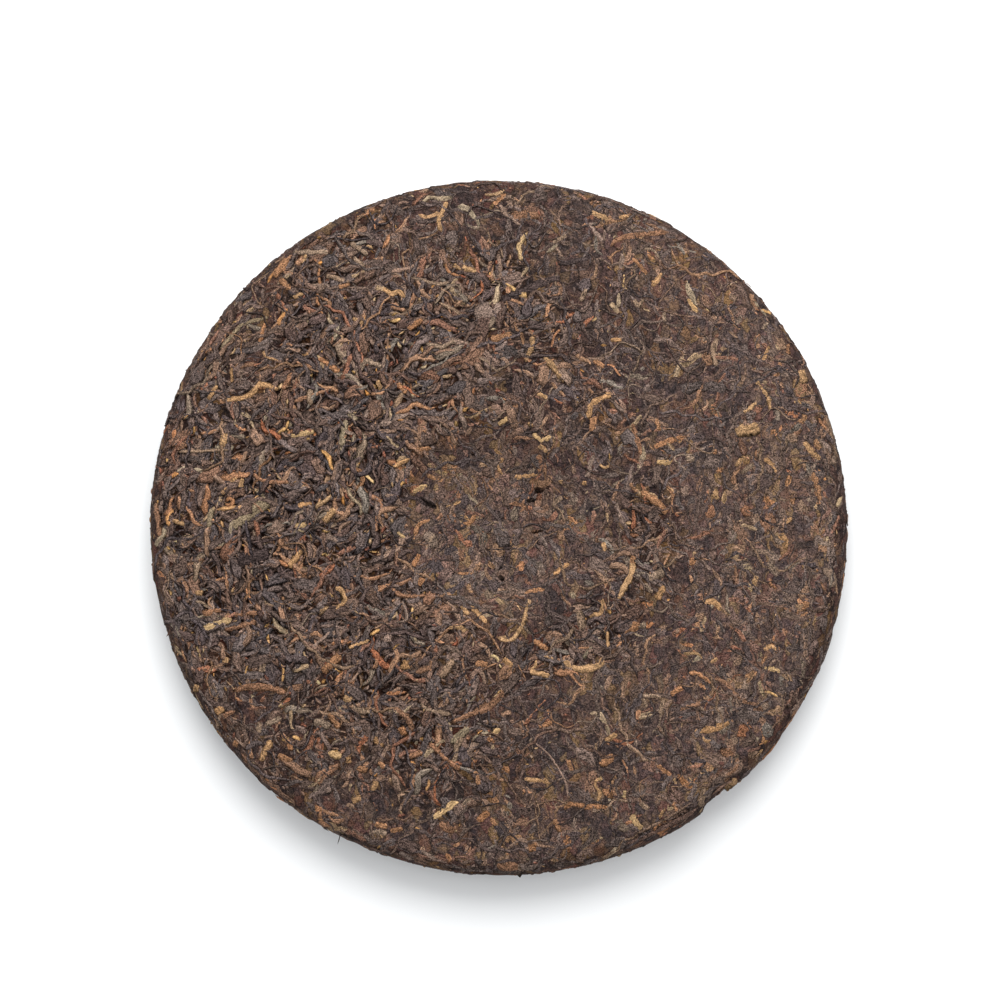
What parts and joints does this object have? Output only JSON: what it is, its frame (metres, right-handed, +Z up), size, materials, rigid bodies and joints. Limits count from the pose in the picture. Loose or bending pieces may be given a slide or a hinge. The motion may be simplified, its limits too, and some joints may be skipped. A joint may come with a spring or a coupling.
{
  "type": "pu erh tea cake",
  "caption": "Round pressed cake of ripe tea leaves with a rolled rim, a knot dimple in its upper face and a flat underside.",
  "frame": {"origin": "middle of the flat underside, where the cake rests", "axes": "+Z up through the cake's thickness, out of the face with the knot dimple; +X and +Y across the face"},
  "size_m": [0.2, 0.1998, 0.0245],
  "materials": {
    "pressed_leaf": "matt, packed dark brown tea leaves with golden buds"
  },
  "bodies": {
    "root": {"tea_cake": "pressed_leaf"}
  },
  "joints": []
}
